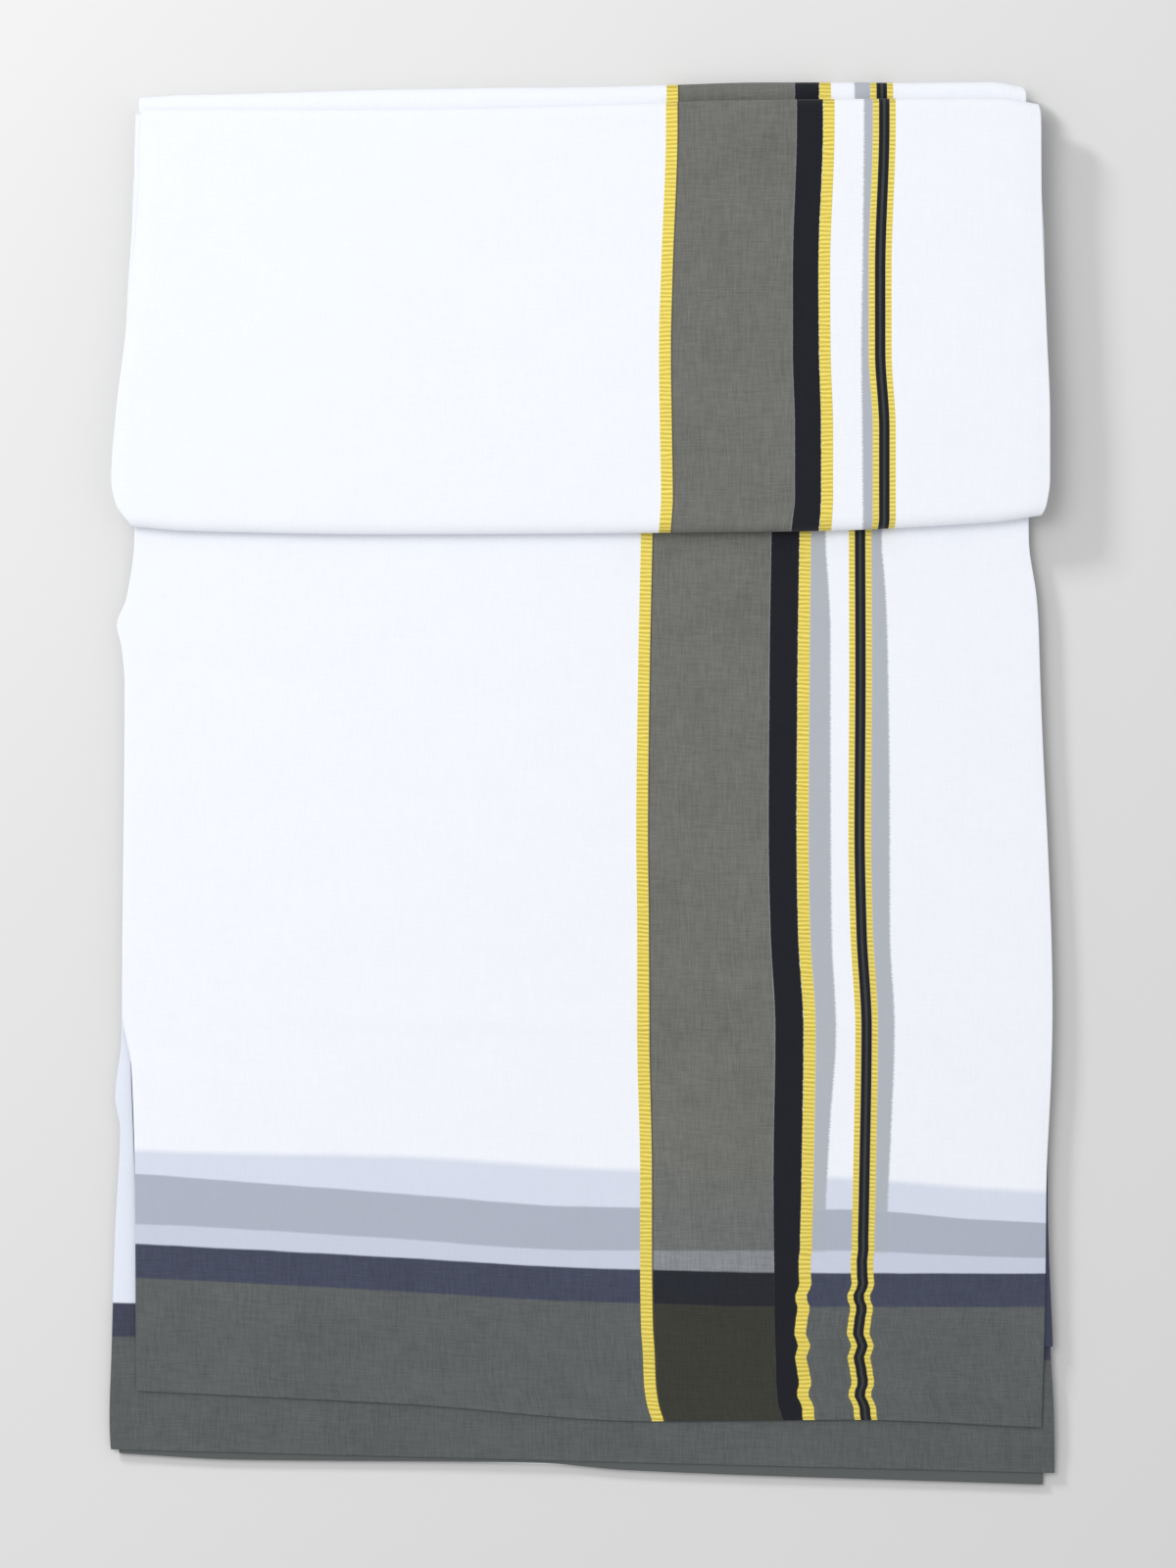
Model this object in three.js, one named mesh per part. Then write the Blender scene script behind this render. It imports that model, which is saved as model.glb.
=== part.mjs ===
// A white cotton dhoti, folded and laid flat: a low pile of folded layers with the border
// at one end of the cloth showing on it, and the rest of the cloth folded over into a
// thicker block at the far end.
//
// Millimetres. +Z is up off the table, +Y runs along the pile from the border towards the
// block, and the origin is on the table under the middle of the pile.

import * as THREE from 'three';

// ---- Driving sizes -----------------------------------------------------------------

const WALL = 1.0;              // one visible stretch: two cloths and the air between them
const GAP = 0.3;               // clearance between stretches that lie on each other
const EDGE_ROLL = 0.4;         // how far a stretch's rounded edge stands out past its faces

const BASE_THICK = 1.4;        // hidden layers that lie on the table
const BLOCK_THICK = 7.4;       // hidden panels inside the block
const SWELL = 0.22;            // height of the slow rise and fall of the layers
const SWELL_LONG = 330;        // its length along the pile
const SWELL_WIDE = 290;        // its length across the pile

const FRONT_NOSE = 6.0;        // depth of the block's rounded fold over the border end
const BACK_NOSE = 4.5;         // depth of the block's rounded fold at the far end
const REAR_NOSE = 6.5;         // depth of the lower panel's fold, which shows behind it
const REAR_TOP = 9.2;          // height of that fold's upper side

const BORDER_HEAD = 308;       // where the stretches inside the rear fold end
const LOWEST_HEAD = 300;       // where the lowest stretch ends
const BLOCK_FOOT = FRONT_NOSE + 1;   // from the front fold's tip to the block's panels
const BLOCK_HEAD = 296;        // where the block's panels end
const REAR_LEG = 303;          // where the rear fold's two legs end, under the block
const BASE_HEAD = 316;         // where the layers on the table end

// Heights: each stretch lies on the one below, a clearance apart.
const THIRD_LOW = BASE_THICK + GAP;
const SECOND_LOW = THIRD_LOW + WALL + GAP;
const INNER_LOW = SECOND_LOW + WALL + GAP;
const FACE_LOW = INNER_LOW + WALL + GAP;
const BLOCK_LOW = FACE_LOW + WALL + GAP;
const BLOCK_HIGH = BLOCK_LOW + BLOCK_THICK;
const FLAP_HIGH = BLOCK_HIGH + GAP + WALL;

// ---- Outlines: a row for each bend of an edge, measured along the pile ---------------

const BASE_SIDES = [
  { along: -322, left: -213.0, right: 211.0 },
  { along: -210, left: -213.5, right: 213.0 },
  { along: -110, left: -210.5, right: 214.5 },
  { along: 40, left: -209.5, right: 209.5 },
  { along: 110, left: -205.0, right: 204.5 },
  { along: 318, left: -202.5, right: 203.0 },
];
const THIRD_SIDES = [
  { along: -323, left: -213.5, right: 212.2 },
  { along: -240, left: -214.5, right: 213.6 },
  { along: -110, left: -211.5, right: 214.8 },
  { along: 40, left: -210.2, right: 210.2 },
  { along: 110, left: -205.8, right: 205.0 },
  { along: 300, left: -203.0, right: 203.4 },
];
const SECOND_SIDES = [
  { along: -318, left: -216.8, right: 217.6 },
  { along: -294, left: -218.0, right: 217.2 },
  { along: -260, left: -217.0, right: 215.6 },
  { along: -206, left: -215.4, right: 214.2 },
  { along: -159, left: -213.1, right: 214.6 },
  { along: -145, left: -215.4, right: 214.8 },
  { along: -118, left: -212.6, right: 215.0 },
  { along: 40, left: -210.4, right: 210.4 },
  { along: 110, left: -206.0, right: 205.2 },
  { along: 310, left: -203.4, right: 203.6 },
];
const INNER_SIDES = [
  { along: -260, left: -204.0, right: 216.6 },
  { along: -189, left: -206.0, right: 214.2 },
  { along: -110, left: -208.5, right: 215.2 },
  { along: 40, left: -210.2, right: 210.6 },
  { along: 110, left: -206.0, right: 205.2 },
  { along: 310, left: -203.2, right: 203.4 },
];
const FACE_SIDES = [
  { along: -297, left: -205.4, right: 211.3 },
  { along: -227, left: -205.8, right: 213.1 },
  { along: -186, left: -206.0, right: 213.5 },
  { along: -131, left: -207.6, right: 215.8 },
  { along: -104, left: -212.0, right: 216.3 },
  { along: 45, left: -210.8, right: 210.8 },
  { along: 64, left: -212.4, right: 210.2 },
  { along: 73, left: -214.5, right: 209.9 },
  { along: 86, left: -209.9, right: 209.0 },
  { along: 113, left: -206.3, right: 205.4 },
  { along: 310, left: -203.6, right: 203.8 },
];
const FLAP_SIDES = [
  { along: 115, left: -206.0, right: 201.0 },
  { along: 119, left: -207.5, right: 206.5 },
  { along: 123, left: -210.5, right: 210.4 },
  { along: 128, left: -214.0, right: 212.8 },
  { along: 140, left: -216.3, right: 214.5 },
  { along: 168, left: -214.4, right: 214.5 },
  { along: 208, left: -209.6, right: 213.0 },
  { along: 276, left: -203.4, right: 210.6 },
  { along: 306, left: -202.6, right: 210.4 },
  { along: 316, left: -199.6, right: 208.6 },
];
const BLOCK_SIDES = [
  { along: 118, left: -206.5, right: 205.5 },
  { along: 140, left: -214.6, right: 213.0 },
  { along: 168, left: -213.4, right: 213.2 },
  { along: 208, left: -209.6, right: 212.2 },
  { along: 300, left: -205.0, right: 210.0 },
];
const REAR_SIDES = [
  { along: 303, left: -204.0, right: 204.0 },
  { along: 318, left: -204.0, right: 204.0 },
  { along: 324, left: -200.0, right: 200.5 },
];

// Ends: a row for each bend of a cut end or a fold, by its place across (0 left, 1 right).
const BASE_FOOT = [{ across: 0, at: -307.5 }, { across: 1, at: -321.5 }];
const THIRD_FOOT = [
  { across: 0, at: -308.6 },
  { across: 0.13, at: -311.6 },
  { across: 0.45, at: -313.0 },
  { across: 0.55, at: -316.4 },
  { across: 1, at: -323.1 },
];
const SECOND_FOOT = [{ across: 0, at: -306.8 }, { across: 1, at: -317.7 }];
const INNER_FOOT = [{ across: 0, at: -249.0 }, { across: 1, at: -259.3 }];
const FACE_FOOT = [
  { across: 0, at: -279.6 },
  { across: 0.3, at: -285.8 },
  { across: 0.57, at: -293.6 },
  { across: 0.79, at: -292.9 },
  { across: 1, at: -296.4 },
];
const FLAP_FRONT = [
  { across: 0, at: 118.4 },
  { across: 0.06, at: 116.4 },
  { across: 0.27, at: 114.8 },
  { across: 0.75, at: 116.2 },
  { across: 0.95, at: 120.3 },
  { across: 1, at: 123.5 },
];
const FLAP_BACK = [
  { across: 0, at: 310.6 },
  { across: 0.25, at: 310.2 },
  { across: 0.5, at: 312.2 },
  { across: 0.66, at: 314.4 },
  { across: 0.96, at: 315.4 },
  { across: 1, at: 312.6 },
];
const REAR_BACK = [
  { across: 0, at: 316.4 },
  { across: 0.05, at: 317.6 },
  { across: 0.32, at: 320.4 },
  { across: 0.6, at: 322.2 },
  { across: 0.72, at: 323.5 },
  { across: 0.97, at: 323.5 },
  { across: 1, at: 321.4 },
];

// ---- Edges: how a solid's edge stands out, from its upper face down to its lower face --

const ROLLED_EDGE = [{ depth: 0.5, sides: EDGE_ROLL, ends: EDGE_ROLL }];

/**
 * An edge of several layers: at the sides each layer bulges and the joints between them
 * are drawn in, and the ends are one crown, which stops short of the lowest layer.
 */
function layeredEdge({ layers, bulge, crown }) {
  const crowned = (layers - 1) / layers;
  const rows = [];
  for (let half = 1; half < layers * 2; half += 1) {
    const depth = half / (layers * 2);
    const rise = Math.sin((Math.PI * depth) / crowned);
    rows.push({ depth, sides: half % 2 === 1 ? bulge : 0, ends: crown * Math.max(0, rise) });
  }
  return rows;
}

// ---- Geometry ------------------------------------------------------------------------

/** A column of a table at one place, on straight lines between its rows. */
function lookUp(rows, key, column, place) {
  const last = rows.length - 1;
  if (place <= rows[0][key]) return rows[0][column];
  if (place >= rows[last][key]) return rows[last][column];
  const upper = rows.findIndex((row) => row[key] >= place);
  const from = rows[upper - 1];
  const to = rows[upper];
  const part = (place - from[key]) / (to[key] - from[key]);
  return from[column] + part * (to[column] - from[column]);
}

/** The place across the pile at a fraction of the width between the two side edges. */
function acrossAt(sides, along, fraction) {
  const left = lookUp(sides, 'along', 'left', along);
  const right = lookUp(sides, 'along', 'right', along);
  return left + fraction * (right - left);
}

/** The slow rise and fall that all the layers share. */
function swellAt(across, along) {
  const long = Math.cos((2 * Math.PI * along) / SWELL_LONG);
  const wide = Math.cos((2 * Math.PI * across) / SWELL_WIDE);
  return (SWELL / 2) * (1 + long * wide);
}

/** A closed solid between two grids of points, with its edge built up row by row. */
function solidBetween(upper, lower, edge) {
  const lastAlong = upper.length - 1;
  const lastAcross = upper[0].length - 1;
  const rim = [];
  for (let i = 0; i < lastAcross; i += 1) rim.push([0, i]);
  for (let j = 0; j < lastAlong; j += 1) rim.push([j, lastAcross]);
  for (let i = lastAcross; i > 0; i -= 1) rim.push([lastAlong, i]);
  for (let j = lastAlong; j > 0; j -= 1) rim.push([j, 0]);

  const points = [];
  const faces = [];
  const addPoint = (point) => points.push(point.x, point.y, point.z) / 3 - 1;
  const addQuad = (a, b, c, d) => faces.push(a, b, c, a, c, d);

  const top = upper.map((row) => row.map(addPoint));
  const bottom = lower.map((row) => row.map(addPoint));
  for (let j = 0; j < lastAlong; j += 1) {
    for (let i = 0; i < lastAcross; i += 1) {
      addQuad(top[j][i], top[j][i + 1], top[j + 1][i + 1], top[j + 1][i]);
      addQuad(bottom[j][i], bottom[j + 1][i], bottom[j + 1][i + 1], bottom[j][i + 1]);
    }
  }

  const rings = [rim.map(([j, i]) => top[j][i])];
  for (const { depth, sides, ends } of edge) {
    rings.push(rim.map(([j, i]) => {
      const point = upper[j][i].clone().lerp(lower[j][i], depth);
      const inRow = upper[j][Math.min(Math.max(i, 1), lastAcross - 1)];
      const inColumn = upper[Math.min(Math.max(j, 1), lastAlong - 1)][i];
      const outSide = upper[j][i].clone().sub(inRow).normalize();
      const outEnd = upper[j][i].clone().sub(inColumn).normalize();
      return addPoint(point.addScaledVector(outSide, sides).addScaledVector(outEnd, ends));
    }));
  }
  rings.push(rim.map(([j, i]) => bottom[j][i]));
  for (let ring = 0; ring < rings.length - 1; ring += 1) {
    for (let k = 0; k < rim.length; k += 1) {
      const next = (k + 1) % rim.length;
      addQuad(rings[ring][k], rings[ring + 1][k], rings[ring + 1][next], rings[ring][next]);
    }
  }

  const geometry = new THREE.BufferGeometry();
  geometry.setAttribute('position', new THREE.Float32BufferAttribute(points, 3));
  geometry.setIndex(faces);
  geometry.computeVertexNormals();
  return geometry;
}

/** A stretch that lies flat: a slab between its cut foot and its hidden head. */
function flatStretch({ sides, foot, head, low, thick, edge, lowIsFlat = false, across = 10, steps = 14 }) {
  const upper = [];
  const lower = [];
  for (let j = 0; j <= steps; j += 1) {
    upper.push([]);
    lower.push([]);
    for (let i = 0; i <= across; i += 1) {
      const fraction = i / across;
      const footAt = lookUp(foot, 'across', 'at', fraction);
      const y = footAt + (j / steps) * (head - footAt);
      const x = acrossAt(sides, y, fraction);
      const swell = swellAt(x, y);
      upper[j].push(new THREE.Vector3(x, y, low + thick + swell));
      lower[j].push(new THREE.Vector3(x, y, lowIsFlat ? low : low + swell));
    }
  }
  return solidBetween(upper, lower, edge);
}

/** A point of a rounded fold: a half ellipse, from its lower side (0) to its upper (1). */
function foldPoint({ tip, depth, low, high, inset, turn, facing }) {
  const angle = Math.PI * (turn - 0.5);
  const rise = (high - low) / 2;
  return {
    y: tip - facing * depth + facing * (depth - inset) * Math.cos(angle),
    z: low + rise + (rise - inset) * Math.sin(angle),
  };
}

/** The block's outer stretch: up round the front fold, over the top, down the back fold. */
function flapSheet({ across = 14, foldSteps = 7, topSteps = 9 }) {
  const sheet = (inset) => {
    const rows = [];
    const station = (pointAt) => {
      const row = [];
      for (let i = 0; i <= across; i += 1) {
        const fraction = i / across;
        const front = lookUp(FLAP_FRONT, 'across', 'at', fraction);
        const back = lookUp(FLAP_BACK, 'across', 'at', fraction);
        const { y, z } = pointAt(front, back);
        row.push(new THREE.Vector3(acrossAt(FLAP_SIDES, y, fraction), y, z));
      }
      rows.push(row);
    };
    for (let k = 0; k <= foldSteps; k += 1) {
      station((front) => foldPoint({
        tip: front, depth: FRONT_NOSE, low: BLOCK_LOW + SWELL, high: FLAP_HIGH,
        inset, turn: k / foldSteps, facing: -1,
      }));
    }
    for (let k = 1; k < topSteps; k += 1) {
      station((front, back) => ({
        y: front + FRONT_NOSE + (k / topSteps) * (back - BACK_NOSE - front - FRONT_NOSE),
        z: FLAP_HIGH - inset,
      }));
    }
    for (let k = 0; k <= foldSteps; k += 1) {
      station((front, back) => foldPoint({
        tip: back, depth: BACK_NOSE, low: REAR_TOP + GAP, high: FLAP_HIGH,
        inset, turn: 1 - k / foldSteps, facing: 1,
      }));
    }
    return rows;
  };
  return solidBetween(sheet(0), sheet(WALL), ROLLED_EDGE);
}

/** The lower panel's fold behind the block, a sheet bent back on itself. */
function rearSheet({ across = 14, foldSteps = 9 }) {
  const low = BASE_THICK + SWELL + GAP;
  const sheet = (inset) => {
    const rows = [];
    const station = (pointAt) => {
      const row = [];
      for (let i = 0; i <= across; i += 1) {
        const fraction = i / across;
        const { y, z } = pointAt(lookUp(REAR_BACK, 'across', 'at', fraction));
        row.push(new THREE.Vector3(acrossAt(REAR_SIDES, y, fraction), y, z));
      }
      rows.push(row);
    };
    station(() => ({ y: REAR_LEG, z: REAR_TOP - inset }));
    for (let k = 0; k <= foldSteps; k += 1) {
      station((back) => foldPoint({
        tip: back, depth: REAR_NOSE, low, high: REAR_TOP,
        inset, turn: 1 - k / foldSteps, facing: 1,
      }));
    }
    station(() => ({ y: REAR_LEG, z: low + inset }));
    return rows;
  };
  return solidBetween(sheet(0), sheet(WALL), ROLLED_EDGE);
}

// ---- The cloth -----------------------------------------------------------------------

const white = { color: 0xeef1fa, roughness: 0.9, metalness: 0 };
const green = { color: 0x575b58, roughness: 0.9, metalness: 0 };
const navy = { color: 0x3e4356, roughness: 0.9, metalness: 0 };

const dhoti = new THREE.Group();

function addPiece(name, geometry, look) {
  const piece = new THREE.Mesh(geometry, new THREE.MeshStandardMaterial(look));
  piece.name = name;
  dhoti.add(piece);
}

addPiece('base_layers', flatStretch({
  sides: BASE_SIDES, foot: BASE_FOOT, head: BASE_HEAD, low: 0, thick: BASE_THICK,
  edge: layeredEdge({ layers: 2, bulge: 0.6, crown: 0.5 }), lowIsFlat: true,
}), white);

addPiece('end_third', flatStretch({
  sides: THIRD_SIDES, foot: THIRD_FOOT, head: LOWEST_HEAD, low: THIRD_LOW, thick: WALL,
  edge: ROLLED_EDGE,
}), green);

addPiece('end_second', flatStretch({
  sides: SECOND_SIDES, foot: SECOND_FOOT, head: BORDER_HEAD, low: SECOND_LOW, thick: WALL,
  edge: ROLLED_EDGE, steps: 18,
}), white);

addPiece('end_inner', flatStretch({
  sides: INNER_SIDES, foot: INNER_FOOT, head: BORDER_HEAD, low: INNER_LOW, thick: WALL,
  edge: ROLLED_EDGE,
}), navy);

addPiece('end_face', flatStretch({
  sides: FACE_SIDES, foot: FACE_FOOT, head: BORDER_HEAD, low: FACE_LOW, thick: WALL,
  edge: ROLLED_EDGE, steps: 22,
}), white);

addPiece('flap_layers', flatStretch({
  sides: BLOCK_SIDES, foot: FLAP_FRONT.map(({ across, at }) => ({ across, at: at + BLOCK_FOOT })),
  head: BLOCK_HEAD, low: BLOCK_LOW, thick: BLOCK_THICK,
  edge: layeredEdge({ layers: 5, bulge: 0.7, crown: 3 }), steps: 8,
}), white);

addPiece('flap_face', flapSheet({}), white);
addPiece('rear_fold', rearSheet({}), white);

export default dhoti;
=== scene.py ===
"""A white cotton dhoti, folded and laid flat: its striped border, its layers and its folds.

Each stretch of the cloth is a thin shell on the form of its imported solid. Sizes in this
script are millimetres, and a mesh is turned into metres when it is made. +X runs across the
pile, +Y from the border's end towards the thick block, and +Z up off the table.
"""

import logging
import math
from collections.abc import Sequence
from dataclasses import dataclass
from enum import Enum

import bpy
import numpy as np
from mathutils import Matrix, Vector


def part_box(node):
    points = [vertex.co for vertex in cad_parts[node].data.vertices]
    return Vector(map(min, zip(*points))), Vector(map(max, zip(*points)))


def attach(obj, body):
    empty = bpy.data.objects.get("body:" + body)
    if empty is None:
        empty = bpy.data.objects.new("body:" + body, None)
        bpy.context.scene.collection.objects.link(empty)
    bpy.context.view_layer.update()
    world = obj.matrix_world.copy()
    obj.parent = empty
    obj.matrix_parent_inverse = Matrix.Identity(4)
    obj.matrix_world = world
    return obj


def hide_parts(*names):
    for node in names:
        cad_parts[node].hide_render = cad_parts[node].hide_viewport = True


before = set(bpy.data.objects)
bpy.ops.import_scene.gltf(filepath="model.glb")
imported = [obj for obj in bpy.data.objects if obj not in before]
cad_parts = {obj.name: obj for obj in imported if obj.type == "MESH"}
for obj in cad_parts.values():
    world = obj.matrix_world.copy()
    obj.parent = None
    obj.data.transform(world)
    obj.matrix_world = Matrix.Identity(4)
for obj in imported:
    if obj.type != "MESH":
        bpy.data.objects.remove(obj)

LOG = logging.getLogger("dhoti")

MM = 0.001
BODY = "root"

Colour = tuple[float, float, float, float]
Places = Sequence[float]


# ---- Driving sizes -------------------------------------------------------------------------

WALL = 1.0                 # the solid of one stretch, of which the shell is the middle
SHEET = 0.7                # a visible stretch: two cloths pressed together
THIN_SHEET = 0.34          # a single cloth in the thick block
GRID = 2.6                 # spacing of the points where a stretch shows
COARSE_GRID = 14.0         # spacing where it is hidden
EDGE_STEPS = (0.0, 0.7, 1.6, 2.9)   # extra points that round a stretch's edge

SWELL = 0.22               # slow rise and fall that all the layers share
SWELL_LONG = 330.0
SWELL_WIDE = 290.0

FRONT_NOSE = 6.0           # depth of the block's fold over the border
BACK_NOSE = 4.5            # depth of the block's fold at the far end
REAR_NOSE = 6.5            # depth of the lower panel's fold behind it
REAR_LEG = 303.0           # where that fold's two legs end, under the block

# The border across the cloth, from the left edge of its first gold stripe.
GOLD_WIDE = 5.4
GREEN_END = 61.1
BLACK_END = 74.2
SECOND_GOLD_END = 79.6
NARROW_START = 97.7
NARROW_GOLD = 2.7
NARROW_BLACK = 5.0
NARROW_END = NARROW_START + 2 * NARROW_GOLD + NARROW_BLACK
BEFORE_BORDER = -60.0      # a place on plain cloth, for stretches that show no border

# The bands along the cloth, up from the upper line of the navy band. Above it lie a pale,
# a grey and a faint band of painted shade, where the bands of the layer below show through.
NAVY_HIGH = 15.6
PALE_SHADE_TOP = 8.8
GREY_SHADE_TOP = 29.0
FAINT_SHADE_TOP = 44.0
BEYOND_BANDS = 120.0       # a place along the cloth that is past them all
PLAIN_ALONG = BEYOND_BANDS + 400.0   # the same for stretches that lie either side of 0
FAR_FROM_SHADE = 60.0      # a distance at which no shade of the layer below shows
NO_SECOND_SHADE = -300.0   # the end of a second shade that isn't there
FOOT_START = -NAVY_HIGH - 500.0      # below the green band, past the cut end
LOWEST_BAND = -900.0       # below any place on the cloth, for a cloth of one colour

WARP_PITCH = 0.38          # spacing of the yarns
WEFT_PITCH = 0.42
RIB_PITCH = 1.95           # spacing of the ribs across the gold


class Slot(Enum):
    """The record's material slots."""

    PLAIN = "plain_cotton"
    STRIPED = "striped_cotton"
    GREEN = "green_border"
    NAVY = "navy_border"


# ---- Lines and edges -----------------------------------------------------------------------


@dataclass(frozen=True)
class Line:
    """A smooth line through a few known places, which never overshoots between them."""

    rows: tuple[tuple[float, float], ...]

    def at(self, place: np.ndarray | float) -> np.ndarray:
        """Reads the line.

        Args:
            place: where along the line.

        Returns:
            The line's value there, held level past its ends.
        """
        keys, values = np.array(self.rows, dtype=float).T
        steps = np.diff(keys)
        slopes = np.diff(values) / steps
        tangents = np.concatenate([slopes[:1], np.zeros(len(slopes) - 1), slopes[-1:]])
        before, after = slopes[:-1], slopes[1:]
        total = np.where(before * after > 0, before + after, 1.0)
        tangents[1:-1] = np.where(before * after > 0, 2 * before * after / total, 0.0)
        place = np.clip(place, keys[0], keys[-1])
        row = np.clip(np.searchsorted(keys, place, side="right") - 1, 0, len(steps) - 1)
        part = (place - keys[row]) / steps[row]
        rest = 1 - part
        return (
            values[row] * rest * rest * (1 + 2 * part)
            + values[row + 1] * part * part * (1 + 2 * rest)
            + steps[row] * part * rest * (tangents[row] * rest - tangents[row + 1] * part)
        )


@dataclass(frozen=True)
class Sides:
    """The two side edges of a stretch: a row (along, left, right) for each bend."""

    rows: tuple[tuple[float, float, float], ...]

    def at(self, along: np.ndarray, fraction: np.ndarray) -> np.ndarray:
        """Finds a place across the pile.

        Args:
            along: place along the pile.
            fraction: 0 at the left edge and 1 at the right.

        Returns:
            The place across the pile.
        """
        left = Line(tuple((row[0], row[1]) for row in self.rows)).at(along)
        right = Line(tuple((row[0], row[2]) for row in self.rows)).at(along)
        return left + fraction * (right - left)


def eased(value: np.ndarray | float, start: float, end: float) -> np.ndarray:
    """A soft step from 0 at start to 1 at end."""
    part = np.clip((np.asarray(value, dtype=float) - start) / (end - start), 0.0, 1.0)
    return part * part * (3 - 2 * part)


def swell(across: np.ndarray, along: np.ndarray) -> np.ndarray:
    """The slow rise and fall that all the layers share."""
    wave = np.cos(2 * np.pi * along / SWELL_LONG) * np.cos(2 * np.pi * across / SWELL_WIDE)
    return SWELL / 2 * (1 + wave)


def from_sides(across: np.ndarray) -> np.ndarray:
    """How far each point of a grid is from the nearer side edge of its row."""
    return np.minimum(across - across[:, :1], across[:, -1:] - across)


def travelled_along(path: np.ndarray) -> np.ndarray:
    """How far a path of points has come at each of its points."""
    steps = np.linalg.norm(np.diff(path, axis=0), axis=1)
    return np.concatenate([[0], np.cumsum(steps)])


@dataclass(frozen=True)
class Ripple:
    """A slow uneven wander along an edge, the same each run.

    Its fields are the height of the wander, the length of its longest wave and a seed.
    """

    height: float
    length: float
    seed: int

    def at(self, place: np.ndarray) -> np.ndarray:
        """The wander at a place, between about plus and minus its height."""
        rng = np.random.default_rng(self.seed)
        total = np.zeros_like(np.asarray(place, dtype=float))
        for octave, share in enumerate((0.55, 0.3, 0.15)):
            wave = self.length / (1.0 + 0.83 * octave)
            total += share * np.sin(2 * np.pi * (place / wave + rng.random()))
        return self.height * total


def spaced(length: float, step: float, fine_start: bool = True, fine_end: bool = True) -> np.ndarray:
    """Even places along a length, with extra ones near the ends that show an edge.

    Args:
        length: the whole length.
        step: the spacing between even places.
        fine_start: whether the start has the extra places.
        fine_end: whether the end has them.

    Returns:
        The places, rising from 0 to length.
    """
    places = [np.linspace(0.0, length, max(2, round(length / step) + 1))]
    edge = np.array(EDGE_STEPS)
    if fine_start:
        places.append(edge)
    if fine_end:
        places.append(length - edge)
    found = np.unique(np.round(np.concatenate(places), 3))
    return found[np.concatenate([[True], np.diff(found) > 0.25])]


# ---- Relief --------------------------------------------------------------------------------


@dataclass(frozen=True)
class Crease:
    """One soft trough or ridge in a stretch.

    Its fields are the two ends (across, along), the height, less than 0 for a trough, the
    half width of its near flank, how many times wider its far flank is, and how far its
    middle bows to the side.
    """

    start: tuple[float, float]
    end: tuple[float, float]
    height: float
    width: float
    far_flank: float = 1.0
    bow: float = 0.0

    def lift(self, across: np.ndarray, along: np.ndarray) -> np.ndarray:
        """The crease's height over each point."""
        run = np.subtract(self.end, self.start)
        length = float(np.hypot(*run))
        east, north = run / length
        dx, dy = across - self.start[0], along - self.start[1]
        part = (dx * east + dy * north) / length
        middle = np.clip(part, 0.0, 1.0)
        off = dy * east - dx * north - self.bow * 4 * middle * (1 - middle)
        width = np.where(off > 0, self.width * self.far_flank, self.width)
        fade = eased(part, -0.06, 0.28) * (1 - eased(part, 0.66, 1.06))
        return self.height * fade * np.exp(-((off / width) ** 2))


@dataclass(frozen=True)
class Wave:
    """A broad undulation: its height, its length, its direction in degrees and its phase."""

    height: float
    length: float
    heading: float
    phase: float = 0.0

    def lift(self, across: np.ndarray, along: np.ndarray) -> np.ndarray:
        """The wave's height over each point."""
        angle = math.radians(self.heading)
        travel = across * math.cos(angle) + along * math.sin(angle)
        return self.height * np.sin(2 * np.pi * (travel / self.length + self.phase))


@dataclass(frozen=True)
class Relief:
    """All the creases and waves of one stretch, kept within its room over the layer below."""

    forms: tuple[Crease | Wave, ...] = ()
    lowest: float = -0.35

    def lift(self, across: np.ndarray, along: np.ndarray) -> np.ndarray:
        """The summed height over each point, never below the lowest."""
        total = np.zeros_like(across)
        for form in self.forms:
            total += form.lift(across, along)
        room = -self.lowest
        return np.where(total < 0, -room * np.tanh(-total / room), total)


# ---- Where the border runs -----------------------------------------------------------------


def piecewise(place: np.ndarray, knots: Sequence[np.ndarray], values: Places) -> np.ndarray:
    """Turns places into values on straight lines between knots, at slope 1 past the ends.

    Args:
        place: the places to turn.
        knots: the rising places of the known values, each an array like place.
        values: the known values.

    Returns:
        The value at each place.
    """
    found = values[0] + (place - knots[0])
    for low, high, start, end in zip(knots, knots[1:], values, values[1:]):
        found = np.where(place >= low, start + (place - low) * (end - start) / (high - low), found)
    return np.where(place >= knots[-1], values[-1] + (place - knots[-1]), found)


@dataclass(frozen=True)
class BorderGuide:
    """Where the border's lines lie on a stretch.

    Its fields are rows of (along, first gold's left edge, green's end, black's end, narrow
    stripe's left edge), rows of (along, end of the first shade, end of the second shade)
    for the border of the layer below where it shows through, whether the first shade is on
    the far side of its line, and how far the stripes pucker near the foot.
    """

    rows: tuple[tuple[float, float, float, float, float], ...]
    shades: tuple[tuple[float, float, float], ...]
    shade_is_beyond: bool = False
    pucker: float = 0.0

    def cloth_across(self, across: np.ndarray, along: np.ndarray) -> np.ndarray:
        """The place across the cloth's own border for each point."""
        knots = [
            Line(tuple((row[0], row[column]) for row in self.rows)).at(along)
            for column in range(1, 5)
        ]
        found = piecewise(across, knots, (0.0, GREEN_END, BLACK_END, NARROW_START))
        near_foot = 1 - eased(along, -238.0, -205.0)
        reach = eased(found, GREEN_END + 4, BLACK_END) * near_foot * self.pucker
        wander = np.sin(2 * np.pi * along / 15.0) + 0.5 * np.sin(2 * np.pi * along / 9.1 + 1.3)
        return found + reach * wander

    def shade_places(self, across: np.ndarray, along: np.ndarray) -> tuple[np.ndarray, np.ndarray]:
        """Distances past the ends of the two shades, less than 0 where a shade lies."""
        ends = [
            Line(tuple((row[0], row[column]) for row in self.shades)).at(along)
            for column in (1, 2)
        ]
        first = ends[0] - across if self.shade_is_beyond else across - ends[0]
        return first, across - ends[1]


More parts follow.
